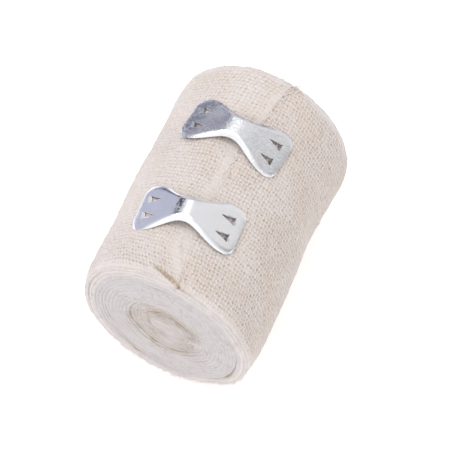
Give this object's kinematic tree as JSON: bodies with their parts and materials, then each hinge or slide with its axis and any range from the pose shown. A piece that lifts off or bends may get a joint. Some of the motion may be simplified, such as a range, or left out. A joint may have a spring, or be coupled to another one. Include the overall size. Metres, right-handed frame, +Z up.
{
  "type": "crepe bandage roll",
  "caption": "Rolled woven crepe bandage lying on its side, with a frayed loose end held down by bent metal bandage clips.",
  "frame": {"origin": "under the middle of the whole object's box, in the plane of the flat spot that the roll rests on", "axes": "+Y along the roll's axis, away from the end that faces the viewer; +Z up, through the clips; +X to the right of the cut edge"},
  "size_m": [0.0556, 0.0798, 0.0614],
  "materials": {
    "crepe": "unbleached cream cotton crepe, open plain weave with crinkled high-twist warp, matt and slightly fuzzy",
    "clip_metal": "bright rolled sheet metal with faint rolling marks"
  },
  "bodies": {
    "root": {"roll": "crepe", "loose_end": "crepe", "clip_near": "clip_metal", "clip_far": "clip_metal"}
  },
  "joints": []
}
